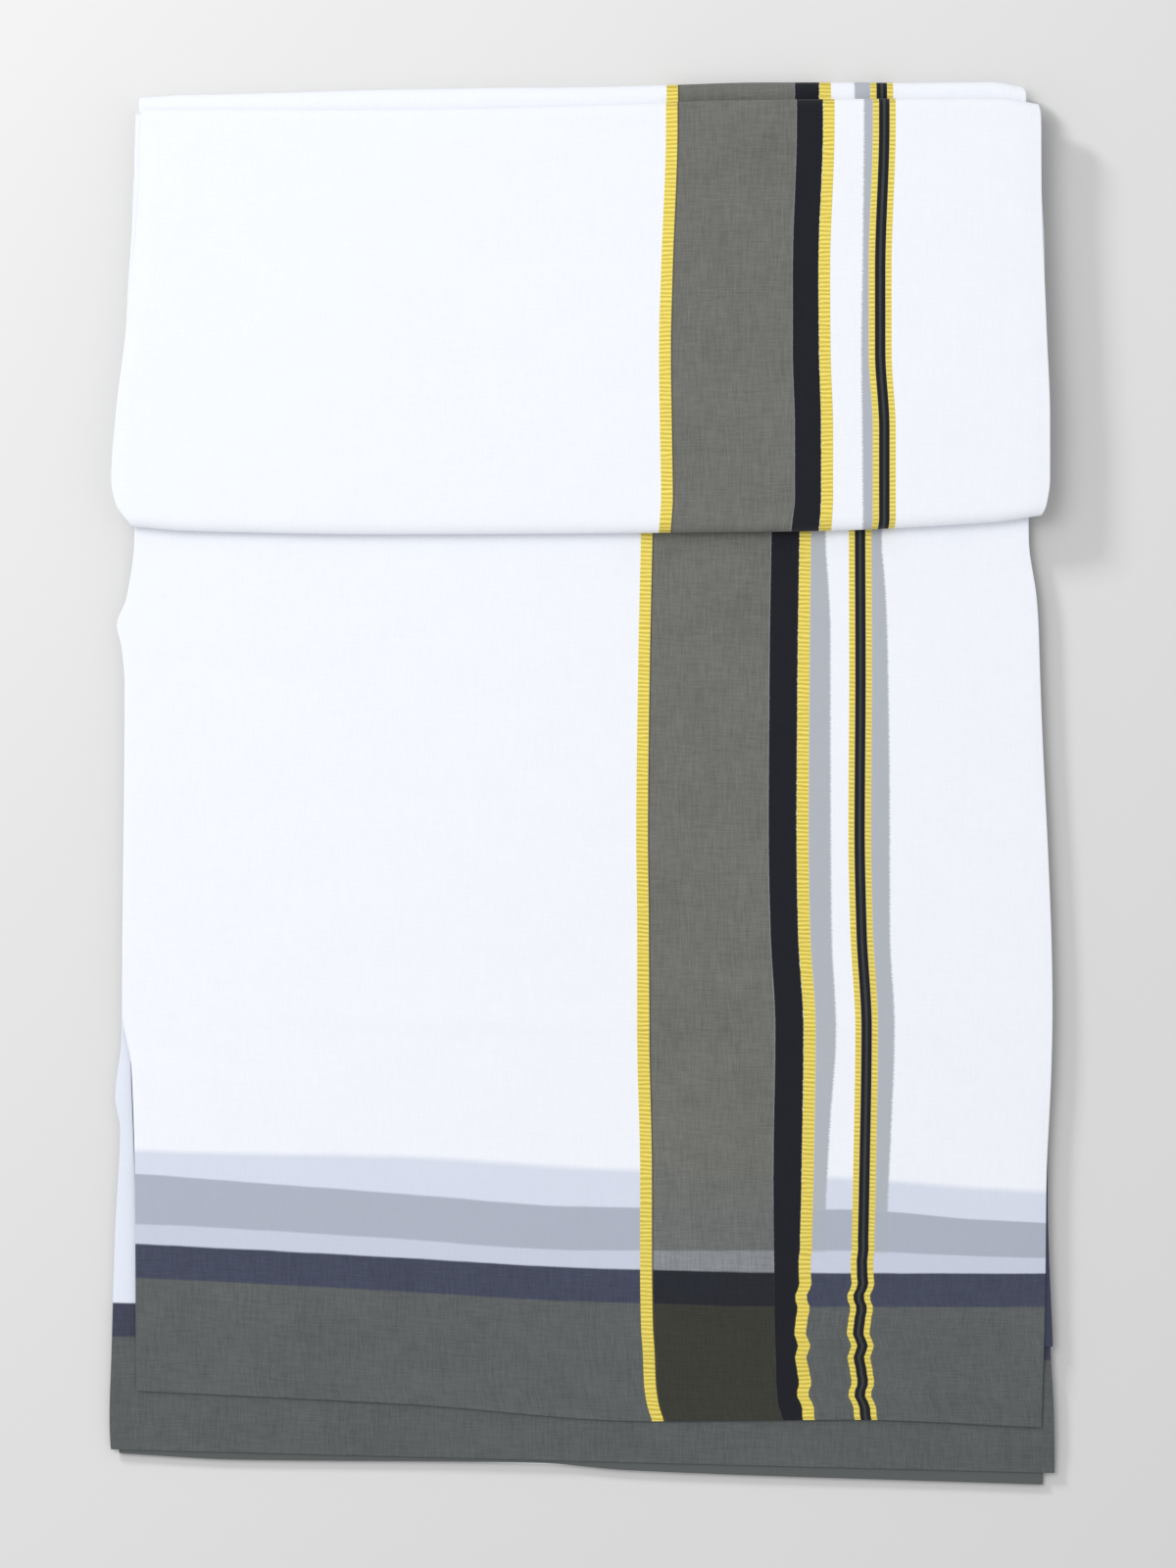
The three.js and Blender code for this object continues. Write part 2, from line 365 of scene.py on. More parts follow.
@dataclass(frozen=True)
class BandGuide:
    """Where the woven bands and the bands of painted shade lie: rows of (across, navy line, pale, grey,
    faint).
    """

    rows: tuple[tuple[float, ...], ...]
    values: tuple[float, ...] = (0.0, PALE_SHADE_TOP, GREY_SHADE_TOP, FAINT_SHADE_TOP)

    def cloth_along(self, across: np.ndarray, along: np.ndarray) -> np.ndarray:
        """The place along the cloth for each point, up from the navy line."""
        knots = [
            Line(tuple((row[0], row[column]) for row in self.rows)).at(across)
            for column in range(1, len(self.rows[0]))
        ]
        return piecewise(along, knots, self.values)


# ---- Meshes --------------------------------------------------------------------------------


@dataclass
class Patch:
    """One closed shell before it becomes a mesh: points, faces and cloth places."""

    points: np.ndarray
    faces: list[tuple[int, int, int, int]]
    weave: np.ndarray
    under: np.ndarray


def unit(vectors: np.ndarray) -> np.ndarray:
    """Vectors at length 1, or 0 where they have none."""
    lengths = np.linalg.norm(vectors, axis=-1, keepdims=True)
    return vectors / np.where(lengths > 1e-9, lengths, 1.0)


def shell(middle: np.ndarray, thickness: float, weave: np.ndarray, under: np.ndarray,
          lowest: float | None = None) -> Patch:
    """Thickens a grid of points into a closed sheet with a rounded edge.

    Args:
        middle: the sheet's middle surface, rows by columns by 3.
        thickness: from face to face.
        weave: the cloth place of each point.
        under: the shade distances of each point.
        lowest: a height that the sheet's points stay above, as a table does.

    Returns:
        The closed shell.
    """
    rows, columns, _ = middle.shape
    facing = unit(np.cross(np.gradient(middle, axis=1), np.gradient(middle, axis=0)))
    half = thickness / 2
    rim = (
        [(0, i) for i in range(columns - 1)]
        + [(j, columns - 1) for j in range(rows - 1)]
        + [(rows - 1, i) for i in range(columns - 1, 0, -1)]
        + [(j, 0) for j in range(rows - 1, 0, -1)]
    )
    at_row, at_column = np.array(rim).T
    edge = middle[at_row, at_column]
    side = unit(edge - middle[at_row, np.clip(at_column, 1, columns - 2)])
    end = unit(edge - middle[np.clip(at_row, 1, rows - 2), at_column])
    outward = unit(side + end)
    up = facing[at_row, at_column]

    points = [(middle + facing * half).reshape(-1, 3), (middle - facing * half).reshape(-1, 3)]
    for angle in (45.0, 0.0, -45.0):
        turn = math.radians(angle)
        points.append(edge + half * (outward * math.cos(turn) + up * math.sin(turn)))
    found = np.concatenate(points)
    if lowest is not None:
        found[:, 2] = np.maximum(found[:, 2], lowest)

    count = rows * columns
    cell = (np.arange(rows - 1)[:, None] * columns + np.arange(columns - 1)[None, :]).ravel()
    corners = np.stack([cell, cell + 1, cell + columns + 1, cell + columns], axis=1)
    faces = [tuple(face) for face in corners.tolist()]
    faces += [tuple(face) for face in (corners[:, ::-1] + count).tolist()]
    rim_top = (at_row * columns + at_column).tolist()
    size = len(rim)
    rings = [rim_top]
    rings += [[2 * count + ring * size + k for k in range(size)] for ring in range(3)]
    rings += [[count + index for index in rim_top]]
    for upper, lower in zip(rings, rings[1:]):
        for k in range(size):
            after = (k + 1) % size
            faces.append((upper[k], lower[k], lower[after], upper[after]))

    def spread(values: np.ndarray) -> np.ndarray:
        """Each grid point's values for every point of the shell that comes from it."""
        flat = values.reshape(-1, 2)
        return np.concatenate([flat, flat] + [values[at_row, at_column]] * 3)

    return Patch(found, faces, spread(weave), spread(under))


def make_piece(name: str, patches: Sequence[Patch]) -> bpy.types.Object:
    """Makes one object from its shells.

    Args:
        name: the piece's name.
        patches: its shells.

    Returns:
        The object, in the scene, with its two cloth maps.
    """
    offsets = np.cumsum([0] + [len(patch.points) for patch in patches])
    faces = [
        tuple(index + int(offset) for index in face)
        for offset, patch in zip(offsets, patches) for face in patch.faces
    ]
    points = np.concatenate([patch.points for patch in patches]) * MM
    mesh = bpy.data.meshes.new(name)
    mesh.from_pydata(points.tolist(), [], faces)
    corner = np.empty(len(mesh.loops), dtype=np.int32)
    mesh.loops.foreach_get("vertex_index", corner)
    for map_name, values in (
        ("weave", np.concatenate([patch.weave for patch in patches])),
        ("under", np.concatenate([patch.under for patch in patches])),
    ):
        layer = mesh.uv_layers.new(name=map_name)
        layer.uv.foreach_set("vector", values[corner].astype(np.float32).ravel())
    mesh.shade_smooth()
    mesh.update()
    made = bpy.data.objects.new(name, mesh)
    bpy.context.scene.collection.objects.link(made)
    return made


def settle(piece: bpy.types.Object, node: str, finish: bpy.types.Material) -> None:
    """Dresses a piece and ties it to the frame.

    Args:
        piece: the piece.
        node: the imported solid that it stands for.
        finish: its material.
    """
    piece.data.materials.append(finish)
    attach(piece, BODY)
    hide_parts(node)
    LOG.info("%s stands for %s: %d faces", piece.name, node, len(piece.data.polygons))


# ---- Finishes ------------------------------------------------------------------------------

LIGHT_LEVEL = 1.06         # how bright the lamps make a pure white that faces up


def paint(red: int, green: int, blue: int) -> Colour:
    """A surface colour that looks like this 0 to 255 colour under the scene's lamps."""
    found = []
    for level in (red, green, blue):
        part = level / 255
        linear = part / 12.92 if part <= 0.04045 else ((part + 0.055) / 1.055) ** 2.4
        found.append(linear / LIGHT_LEVEL)
    return (found[0], found[1], found[2], 1.0)


class Board:
    """A material's nodes, with a short way to add each kind that the finishes use."""

    def __init__(self, name: str) -> None:
        """Starts an empty material."""
        self.material = bpy.data.materials.new(name)
        self.material.use_nodes = True
        self.tree = self.material.node_tree
        self.tree.nodes.clear()

    def add(self, kind: str, inputs: dict | None = None, **settings: object) -> bpy.types.Node:
        """Adds a node.

        Args:
            kind: the node's type.
            inputs: values or sockets for its inputs, by name or number.
            settings: the node's own properties.

        Returns:
            The node.
        """
        node = self.tree.nodes.new(kind)
        for key, value in settings.items():
            setattr(node, key, value)
        for key, value in (inputs or {}).items():
            if isinstance(value, bpy.types.NodeSocket):
                self.tree.links.new(value, node.inputs[key])
            else:
                node.inputs[key].default_value = value
        return node

    def math(self, operation: str, *values: object, clamp: bool = False) -> bpy.types.NodeSocket:
        """One step of arithmetic on numbers or sockets."""
        inputs = dict(enumerate(values))
        return self.add("ShaderNodeMath", inputs, operation=operation, use_clamp=clamp).outputs[0]

    def rises(self, value: object, edge: float, soft: float) -> bpy.types.NodeSocket:
        """0 below an edge and 1 above it, over a soft width."""
        inputs = {"Value": value, "From Min": edge - soft / 2, "From Max": edge + soft / 2}
        return self.add("ShaderNodeMapRange", inputs, interpolation_type="SMOOTHSTEP").outputs[0]

    def window(self, value: object, start: float, end: float, soft: float) -> bpy.types.NodeSocket:
        """1 between two edges and 0 outside them."""
        above = self.rises(value, start, soft)
        below = self.math("SUBTRACT", 1.0, self.rises(value, end, soft))
        return self.math("MULTIPLY", above, below)

    def either(self, *masks: object) -> bpy.types.NodeSocket:
        """The strongest of several masks."""
        found = masks[0]
        for mask in masks[1:]:
            found = self.math("MAXIMUM", found, mask)
        return found

    def blend(self, factor: object, first: object, second: object,
              how: str = "MIX") -> bpy.types.NodeSocket:
        """Mixes two colours."""
        inputs = {0: factor, 6: first, 7: second}
        node = self.add("ShaderNodeMix", inputs, data_type="RGBA", blend_type=how)
        return node.outputs[2]

    def noise(self, across: object, along: object, wide: float, long: float, seed: float,
              detail: float = 2.0) -> bpy.types.NodeSocket:
        """Smooth noise from 0 to 1 with its own grain across and along the cloth.

        Args:
            across: the place across the cloth, in millimetres.
            along: the place along it.
            wide: the grain's size across.
            long: its size along.
            seed: which noise.
            detail: how many finer grains it holds.

        Returns:
            The noise.
        """
        scaled = {
            "X": self.math("DIVIDE", across, wide),
            "Y": self.math("DIVIDE", along, long),
            "Z": seed,
        }
        place = self.add("ShaderNodeCombineXYZ", scaled).outputs[0]
        inputs = {"Vector": place, "Scale": 1.0, "Detail": detail, "Roughness": 0.55}
        return self.add("ShaderNodeTexNoise", inputs).outputs[0]

    def signed(self, noise: object, reach: float) -> bpy.types.NodeSocket:
        """Noise from 0 to 1 turned into a value around 0, of about this reach."""
        return self.math("MULTIPLY", self.math("SUBTRACT", noise, 0.5), 2 * reach)


@dataclass(frozen=True)
class Thread:
    """A colour of yarn, and how much its slubs show."""

    colour: Colour
    slub: float


WHITE = Thread(paint(240, 243, 250), 0.035)
GREEN = Thread(paint(108, 109, 104), 0.36)
BLACK = Thread(paint(17, 20, 29), 0.10)
GOLD_LIGHT = paint(250, 230, 112)
GOLD_DARK = paint(192, 172, 62)
GREY_THREAD = paint(62, 64, 62)
OLIVE_THREAD = paint(72, 68, 44)


@dataclass(frozen=True)
class Band:
    """A band of weft or of painted shade along the cloth: its lower line, its colour over white warp and
    over green.
    """

    start: float
    over_white: Colour
    over_green: Colour


# Woven green and navy weft, then painted shade: the pale, grey and faint bands of the layer below.
STRIPED_WEFT_AND_SHADE_BANDS = (
    Band(FOOT_START, paint(90, 94, 94), paint(54, 54, 48)),
    Band(-NAVY_HIGH, paint(65, 70, 89), paint(30, 33, 42)),
    Band(0.0, paint(199, 205, 221), paint(133, 136, 141)),
    Band(PALE_SHADE_TOP, paint(172, 178, 193), paint(106, 109, 108)),
    Band(GREY_SHADE_TOP, paint(213, 219, 234), paint(107, 109, 107)),
    Band(FAINT_SHADE_TOP, WHITE.colour, GREEN.colour),
)
END_BANDS = (
    Band(FOOT_START, paint(88, 92, 93), GREEN.colour),
    Band(-NAVY_HIGH, paint(63, 66, 84), GREEN.colour),
    Band(0.0, paint(226, 231, 244), GREEN.colour),
)


@dataclass(frozen=True)
class CottonFinish:
    """Woven cotton, plain or with the striped border and the bands across its end.

    Its fields are the material's name, the bands of weft and of painted shade from the lowest
    up, whether the warp has the border in it, and how rough the cloth is.
    """

    name: str
    bands: tuple[Band, ...]
    bordered: bool
    roughness: float = 0.9

    def build(self) -> bpy.types.Material:
        """Makes the material."""
        board = Board(self.name)
        weave = board.add("ShaderNodeUVMap", uv_map="weave").outputs[0]
        split = board.add("ShaderNodeSeparateXYZ", {0: weave})
        across, along = split.outputs[0], split.outputs[1]
        warp_grain = board.noise(across, along, 0.55, 9.0, 1.7, 3.0)
        weft_grain = board.noise(across, along, 8.0, 0.6, 5.3, 3.0)
        patchy = board.noise(across, along, 34.0, 26.0, 9.1, 2.0)

        teeth = board.signed(board.noise(across, along, 30.0, 0.7, 3.9, 1.0), 0.55)
        line_wander = board.signed(board.noise(across, along, 18.0, 3.0, 7.7, 2.0), 0.7)
        banded = board.math("ADD", along, board.math("MULTIPLY", line_wander, 0.5))
        over_white = self.weft_and_shade_colour(board, banded, [band.over_white for band in self.bands])
        colour = over_white
        white_like = board.rises(banded, 0.0, 0.6)
        slub = board.math("MULTIPLY_ADD", white_like, WHITE.slub - GREEN.slub, GREEN.slub)
        gold = None
        if self.bordered:
            colour, slub, gold = self.weave_border(board, across, along, banded, teeth, over_white, slub)

        grain = board.math("ADD", board.signed(warp_grain, 1.0), board.signed(weft_grain, 0.8))
        grain = board.math("ADD", grain, board.signed(patchy, 0.35))
        shade = board.math("MULTIPLY_ADD", grain, slub, 1.0)
        tone = board.add("ShaderNodeCombineXYZ", {0: shade, 1: shade, 2: shade}).outputs[0]
        colour = board.blend(1.0, colour, tone, "MULTIPLY")
        self.surface(board, across, along, colour, grain, gold)
        return board.material

    def weft_and_shade_colour(self, board: Board, along: object, colours: Sequence[Colour]) -> bpy.types.NodeSocket:
        """The colour of the woven bands and of the bands of painted shade.

        Args:
            board: the material.
            along: the place along the cloth.
            colours: a colour for each band.

        Returns:
            The colour socket.
        """
        found: object = colours[0]
        for band, colour in zip(self.bands[1:], colours[1:]):
            soft = 4.0 if band.start == FAINT_SHADE_TOP else 1.1
            found = board.blend(board.rises(along, band.start, soft), found, colour)
        if not isinstance(found, bpy.types.NodeSocket):
            found = board.blend(0.0, found, found)
        return found

    def weave_border(self, board: Board, across: object, along: object, banded: object, teeth: object,
                     over_white: object, slub: object) -> tuple[object, object, object]:
        """Lays the green, black and gold warp over the ground.

        Args:
            board: the material.
            across: the place across the cloth.
            along: the place along it.
            banded: the place along it with the bands' own wander.
            teeth: a small wander for the warp's edges.
            over_white: the colour over white warp.
            slub: how much the slubs show there.

        Returns:
            The colour, how much the slubs show, and the mask of the gold.
        """
        fuzzy = board.math("ADD", across, teeth)
        green = board.window(fuzzy, GOLD_WIDE, GREEN_END, 0.6)
        over_green = self.weft_and_shade_colour(board, banded, [band.over_green for band in self.bands])

        under = board.add("ShaderNodeUVMap", uv_map="under").outputs[0]
        sides = board.add("ShaderNodeSeparateXYZ", {0: under})
        ribbed = board.math("MULTIPLY", teeth, 1.6)
        first, second = (
            board.math("SUBTRACT", 1.0, board.rises(board.math("ADD", side, ribbed), 0.0, 1.3))
            for side in (sides.outputs[0], sides.outputs[1])
        )
        first = board.math("MULTIPLY", first, board.window(across, SECOND_GOLD_END, NARROW_START, 0.5))
        second = board.math("MULTIPLY", second, board.rises(across, NARROW_END, 0.5))
        shade = board.math("MULTIPLY", board.either(first, second), board.rises(along, PALE_SHADE_TOP, 3.0))
        colour = board.blend(shade, over_white, paint(176, 181, 189), "DARKEN")

        colour = board.blend(green, colour, over_green)
        black = board.either(
            board.window(fuzzy, GREEN_END, BLACK_END, 0.5),
            board.window(across, NARROW_START + NARROW_GOLD, NARROW_END - NARROW_GOLD, 0.4),
        )
        middle = NARROW_START + NARROW_GOLD + NARROW_BLACK / 2
        thread = board.window(across, middle - 0.6, middle + 0.6, 0.6)
        colour = board.blend(black, colour, BLACK.colour)
        colour = board.blend(board.math("MULTIPLY", thread, 0.8), colour, GREY_THREAD)
        edge_line = board.window(across, GOLD_WIDE - 0.1, GOLD_WIDE + 0.7, 0.4)
        colour = board.blend(board.math("MULTIPLY", edge_line, 0.8), colour, OLIVE_THREAD)

        gold = board.either(
            board.window(across, 0.0, GOLD_WIDE, 0.4),
            board.window(across, BLACK_END, SECOND_GOLD_END, 0.4),
            board.window(across, NARROW_START, NARROW_START + NARROW_GOLD, 0.4),
            board.window(across, NARROW_END - NARROW_GOLD, NARROW_END, 0.4),
        )
        rib = self.gold_ribs(board, across, along)
        zari = board.blend(rib, GOLD_DARK, GOLD_LIGHT)
        colour = board.blend(gold, colour, zari)

        coloured = board.either(green, black)
        slub = board.math("MAXIMUM", slub, board.math("MULTIPLY", coloured, GREEN.slub))
        slub = board.math("MULTIPLY", slub, board.math("SUBTRACT", 1.0, gold))
        return colour, slub, gold

    def gold_ribs(self, board: Board, across: object, along: object) -> bpy.types.NodeSocket:
        """The cross ribs of the gold yarn, from 0 in a groove to 1 on a rib."""
        wander = board.signed(board.noise(across, along, 12.0, 5.0, 2.2, 2.0), 0.9)
        turn = board.math("MULTIPLY", board.math("ADD", along, wander), 2 * math.pi / RIB_PITCH)
        rib = board.math("MULTIPLY_ADD", board.math("SINE", turn), 0.5, 0.5)
        strength = board.noise(across, along, 6.0, 7.0, 6.1, 2.0)
        level = board.math("MULTIPLY_ADD", board.signed(strength, 0.5), 1.0, 0.75)
        return board.math("MULTIPLY_ADD", board.math("SUBTRACT", rib, 0.5), level, 0.5, clamp=True)

    def surface(self, board: Board, across: object, along: object, colour: object, grain: object,
                gold: object | None) -> None:
        """Joins the colour, the gloss and the weave's relief to the shader.

        Args:
            board: the material.
            across: the place across the cloth.
            along: the place along it.
            colour: the cloth's colour.
            grain: the slubs, around 0.
            gold: the mask of the gold, if there is any.
        """
        pick = board.math("SINE", board.math("MULTIPLY", along, 2 * math.pi / WEFT_PITCH))
        end = board.math("SINE", board.math("MULTIPLY", across, 2 * math.pi / WARP_PITCH))
        plain_weave = board.math("MULTIPLY", board.math("MULTIPLY", pick, end), 0.25)
        height = board.math("MULTIPLY_ADD", grain, 0.5, plain_weave)
        if gold is not None:
            rib = board.math("MULTIPLY", self.gold_ribs(board, across, along), gold)
            height = board.math("MULTIPLY_ADD", rib, 1.6, height)
        bump = board.add("ShaderNodeBump", {"Strength": 0.55, "Distance": 0.00012, "Height": height})
        inputs = {
            "Base Color": colour,
            "Roughness": self.roughness,
            "Specular IOR Level": 0.3,
            "Sheen Weight": 0.12,
            "Sheen Roughness": 0.5,
            "Normal": bump.outputs[0],
        }
        if gold is not None:
            inputs["Metallic"] = board.math("MULTIPLY", gold, 0.3)
            inputs["Roughness"] = board.math("MULTIPLY_ADD", gold, 0.42 - self.roughness, self.roughness)
        shader = board.add("ShaderNodeBsdfPrincipled", inputs)
        board.add("ShaderNodeOutputMaterial", {"Surface": shader.outputs[0]})


def one_colour(name: str, colour: Colour) -> bpy.types.Material:
    """Makes woven cotton of one colour."""
    return CottonFinish(name, (Band(LOWEST_BAND, colour, colour),), False).build()


# ---- The stretches that lie flat -----------------------------------------------------------


@dataclass(frozen=True)
class Fall:
    """A place where a stretch comes down off the end of one below it.

    Its fields are rows of (fraction across, place along) for the line where it starts to
    come down, the distance that it takes, and how far down it comes.
    """

    line: tuple[tuple[float, float], ...]
    run: float
    drop: float

    def down(self, fraction: np.ndarray, along: np.ndarray) -> np.ndarray:
        """How far down each point has come."""
        return self.drop * eased(Line(self.line).at(fraction) - along, 0.0, self.run)


@dataclass
class LaidCloth:
    """One stretch of cloth that lies flat in the pile.

    Its fields are the piece's name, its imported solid, the record's slot, the cut of the
    stretch, its side edges, its foot as rows of (fraction across, place along), where it
    ends under the block, up to where it shows, its relief, where it comes down over the
    layers below, how its sides sink, the names of what it lies on, and the guides that
    say where the border and the bands lie on it.
    """

    name: str
    node: str
    slot: Slot
    flat: tuple[float, float]
    sides: Sides
    foot: tuple[tuple[float, float], ...]
    head: float
    seen_to: float
    rests_on: tuple[str, ...]
    relief: Relief = Relief()
    falls: tuple[Fall, ...] = ()
    side_drop: float = 0.22
    side_run: float = 4.0
    ripple: Ripple = Ripple(0.12, 83.0, 1)
    grid: float = GRID
    border: BorderGuide | None = None
    bands: BandGuide | None = None
    middle_lift: float = WALL / 2
    thickness: float = SHEET

    def stations(self) -> tuple[np.ndarray, np.ndarray]:
        """The grid of fractions across and places along."""
        width = self.flat[0]
        across = spaced(width, self.grid) / width
        foot_at = Line(self.foot).at(across)
        nearest = float(np.mean(foot_at))
        seen = spaced(self.seen_to - nearest, self.grid, fine_end=False)
        hidden_steps = max(2, round((self.head - self.seen_to) / COARSE_GRID))
        hidden = np.linspace(self.seen_to, self.head, hidden_steps)
        places = np.concatenate([seen + nearest, hidden[1:]])
        part = (places - nearest) / (self.head - nearest)
        fraction = np.repeat(across[None, :], len(part), axis=0)
        along = foot_at[None, :] + part[:, None] * (self.head - foot_at[None, :])
        return fraction, along

    def middle(self) -> tuple[np.ndarray, np.ndarray, np.ndarray]:
        """The middle surface as arrays of places across, along and up."""
        fraction, along = self.stations()
        across = self.sides.at(along, fraction)
        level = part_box(self.node)[0].z / MM + self.middle_lift
        open_air = 1 - eased(along, self.seen_to - 26, self.seen_to - 2)
        up = level + swell(across, along) + self.relief.lift(across, along) * open_air
        for fall in self.falls:
            up = up - fall.down(fraction, along)
        sink = self.side_drop + self.ripple.at(along + 40 * (fraction > 0.5))
        up = up - sink * (1 - eased(from_sides(across), 0.0, self.side_run)) * (0.3 + 0.7 * open_air)
        return across, along, up

    def patch(self) -> Patch:
        """The stretch as one closed shell."""
        across, along, up = self.middle()
        across_cloth = np.full_like(across, BEFORE_BORDER) + across
        first = second = np.full_like(across, FAR_FROM_SHADE)
        if self.border is not None:
            across_cloth = self.border.cloth_across(across, along)
            first, second = self.border.shade_places(across, along)
        along_cloth = along + PLAIN_ALONG
        if self.bands is not None:
            along_cloth = self.bands.cloth_along(across, along)
        return shell(
            np.stack([across, along, up], axis=-1), self.thickness,
            np.stack([across_cloth, along_cloth], axis=-1), np.stack([first, second], axis=-1),
        )

    def build(self, finish: bpy.types.Material) -> bpy.types.Object:
        """Makes the piece and ties it to the frame."""
        piece = make_piece(self.name, [self.patch()])
        settle(piece, self.node, finish)
        return piece


@dataclass
class BaseCloth:
    """The lowest layers: two cloths, of which the lower lies flat on the table."""

    flat: tuple[float, float] = (846.0, 636.0)
    sides: Sides = Sides((
        (-322, -213.0, 211.0), (-210, -213.5, 213.0), (-110, -210.5, 214.5), (40, -209.5, 209.5),
        (110, -205.0, 204.5), (318, -202.5, 203.0),
    ))
    foot: tuple[tuple[float, float], ...] = ((0, -307.5), (1, -321.5))
    head: float = 316.0
    sheet: float = 0.56
    upper_inset: float = 1.1

    def build(self, finish: bpy.types.Material) -> bpy.types.Object:
        """Makes the piece and ties it to the frame."""
        width = self.flat[0] / 2
        across_part = spaced(width, 6.0) / width
        foot_at = Line(self.foot).at(across_part)
        part = spaced(self.flat[1], 6.0) / self.flat[1]
        fraction = np.repeat(across_part[None, :], len(part), axis=0)
        patches = []
        for layer in range(2):
            inset = layer * self.upper_inset
            along = foot_at[None, :] + inset + part[:, None] * (self.head - foot_at[None, :] - inset)
            across = self.sides.at(along, fraction)
            across = across + inset * (1 - 2 * fraction) + Ripple(0.5, 120, 31 + layer).at(along)
            up = np.full_like(across, self.sheet / 2)
            if layer:
                up = up + 0.78 + swell(across, along) - 0.16 * (1 - eased(from_sides(across), 0, 5))
            weave = np.stack([across + BEFORE_BORDER, along + PLAIN_ALONG], axis=-1)
            under = np.full_like(weave, FAR_FROM_SHADE)
            middle = np.stack([across, along, up], axis=-1)
            patches.append(shell(middle, self.sheet, weave, under, lowest=0.0))
        piece = make_piece("base_cloth", patches)
        settle(piece, "base_layers", finish)
        return piece


# ---- The block -----------------------------------------------------------------------------


def fold_point(tip: np.ndarray, depth: float, low: float, high: float, inset: float, turn: float,
               facing: float) -> tuple[np.ndarray, float]:
    """A point of a rounded fold, which is half an ellipse.

    Args:
        tip: where the fold reaches furthest, along the pile.
        depth: how far back from the tip its legs start.
        low: height of its lower leg.
        high: height of its upper leg.
        inset: how far inside the outer face the point is.
        turn: 0 on the lower leg and 1 on the upper.
        facing: -1 for a fold that faces the border, and 1 for one that faces away.

    Returns:
        The places along and up.
    """
    angle = math.pi * (turn - 0.5)
    rise = (high - low) / 2
    along = tip - facing * depth + facing * (depth - inset) * math.cos(angle)
    return along, low + rise + (rise - inset) * math.sin(angle)


FLAP_SIDES = Sides((
    (115, -206.0, 201.0), (119, -207.5, 206.5), (123, -210.5, 210.4), (128, -214.0, 212.8),
    (140, -216.3, 214.5), (168, -214.4, 214.5), (208, -209.6, 213.0), (276, -203.4, 210.6),
    (306, -202.6, 210.4), (316, -199.6, 208.6),
))
FLAP_FRONT = ((0, 118.4), (0.06, 116.4), (0.27, 114.8), (0.75, 116.2), (0.95, 120.3), (1, 123.5))
FLAP_BACK = ((0, 310.6), (0.25, 310.2), (0.5, 312.2), (0.66, 314.4), (0.96, 315.4), (1, 312.6))
FLAP_BORDER = BorderGuide(
    rows=(
        (117, 35.1, 95.8, 108.7, 132.9), (122, 35.5, 96.4, 109.1, 133.4), (131, 36.0, 97.4, 109.6, 133.4),
        (163, 35.5, 97.4, 109.6, 133.4), (199, 35.1, 96.4, 108.7, 131.5), (235, 36.0, 96.4, 108.4, 131.5),
        (303, 38.3, 98.3, 110.5, 133.4), (316, 38.3, 98.3, 110.5, 133.4),
    ),
    shades=(
        (124, 128.8, NO_SECOND_SHADE), (150, 128.6, NO_SECOND_SHADE), (199, 128.1, NO_SECOND_SHADE),
        (250, 128.8, NO_SECOND_SHADE), (303, 129.3, NO_SECOND_SHADE),
    ),
    shade_is_beyond=True,
)


@dataclass
class FlapCloth:
    """The block's outer cloth: up round the front fold, over the top and down the back fold."""

    width: float = 423.0
    thickness: float = 0.62
    relief: Relief = Relief()
    fold_steps: int = 14
    side_drop: float = 0.45

    def build(self, finish: bpy.types.Material) -> bpy.types.Object:
        """Makes the piece and ties it to the frame."""
        low_corner, high_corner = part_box("flap_face")
        low, high = low_corner.z / MM, high_corner.z / MM
        rear_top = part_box("rear_fold")[1].z / MM
        fraction = spaced(self.width, GRID) / self.width
        front, back = Line(FLAP_FRONT).at(fraction), Line(FLAP_BACK).at(fraction)
        inset = self.thickness / 2
        rows: list[tuple[np.ndarray, np.ndarray]] = []
        for step in range(self.fold_steps + 1):
            along, up = fold_point(front, FRONT_NOSE, low, high, inset, step / self.fold_steps, -1)
            rows.append((along, np.full_like(fraction, up)))
        top_start, top_end = front + FRONT_NOSE, back - BACK_NOSE
        steps = round(float(np.mean(top_end - top_start)) / GRID)
        for step in range(1, steps):
            along = top_start + step / steps * (top_end - top_start)
            rows.append((along, np.full_like(fraction, high - inset)))
        for step in range(self.fold_steps + 1):
            turn = 1 - step / self.fold_steps
            along, up = fold_point(back, BACK_NOSE, rear_top + 0.3, high, inset, turn, 1)
            rows.append((along, np.full_like(fraction, up)))
        along = np.array([row[0] for row in rows])
        up = np.array([row[1] for row in rows])
        across = FLAP_SIDES.at(along, fraction[None, :])
        on_top = eased(up, high - 3.2, high - inset)
        up = up + on_top * self.relief.lift(across, along)
        sink = self.side_drop + Ripple(0.15, 70, 8).at(along)
        up = up - on_top * sink * (1 - eased(from_sides(across), 0, 7))
        middle = np.stack([across, along, up], axis=-1)
        travelled = travelled_along(middle[:, middle.shape[1] // 2])
        weave = np.stack([
            FLAP_BORDER.cloth_across(across, along),
            np.repeat(travelled[:, None] + BEYOND_BANDS, len(fraction), axis=1),
        ], axis=-1)
        under = np.stack(FLAP_BORDER.shade_places(across, along), axis=-1)
        piece = make_piece("flap_cloth", [shell(middle, self.thickness, weave, under)])
        settle(piece, "flap_face", finish)
        return piece


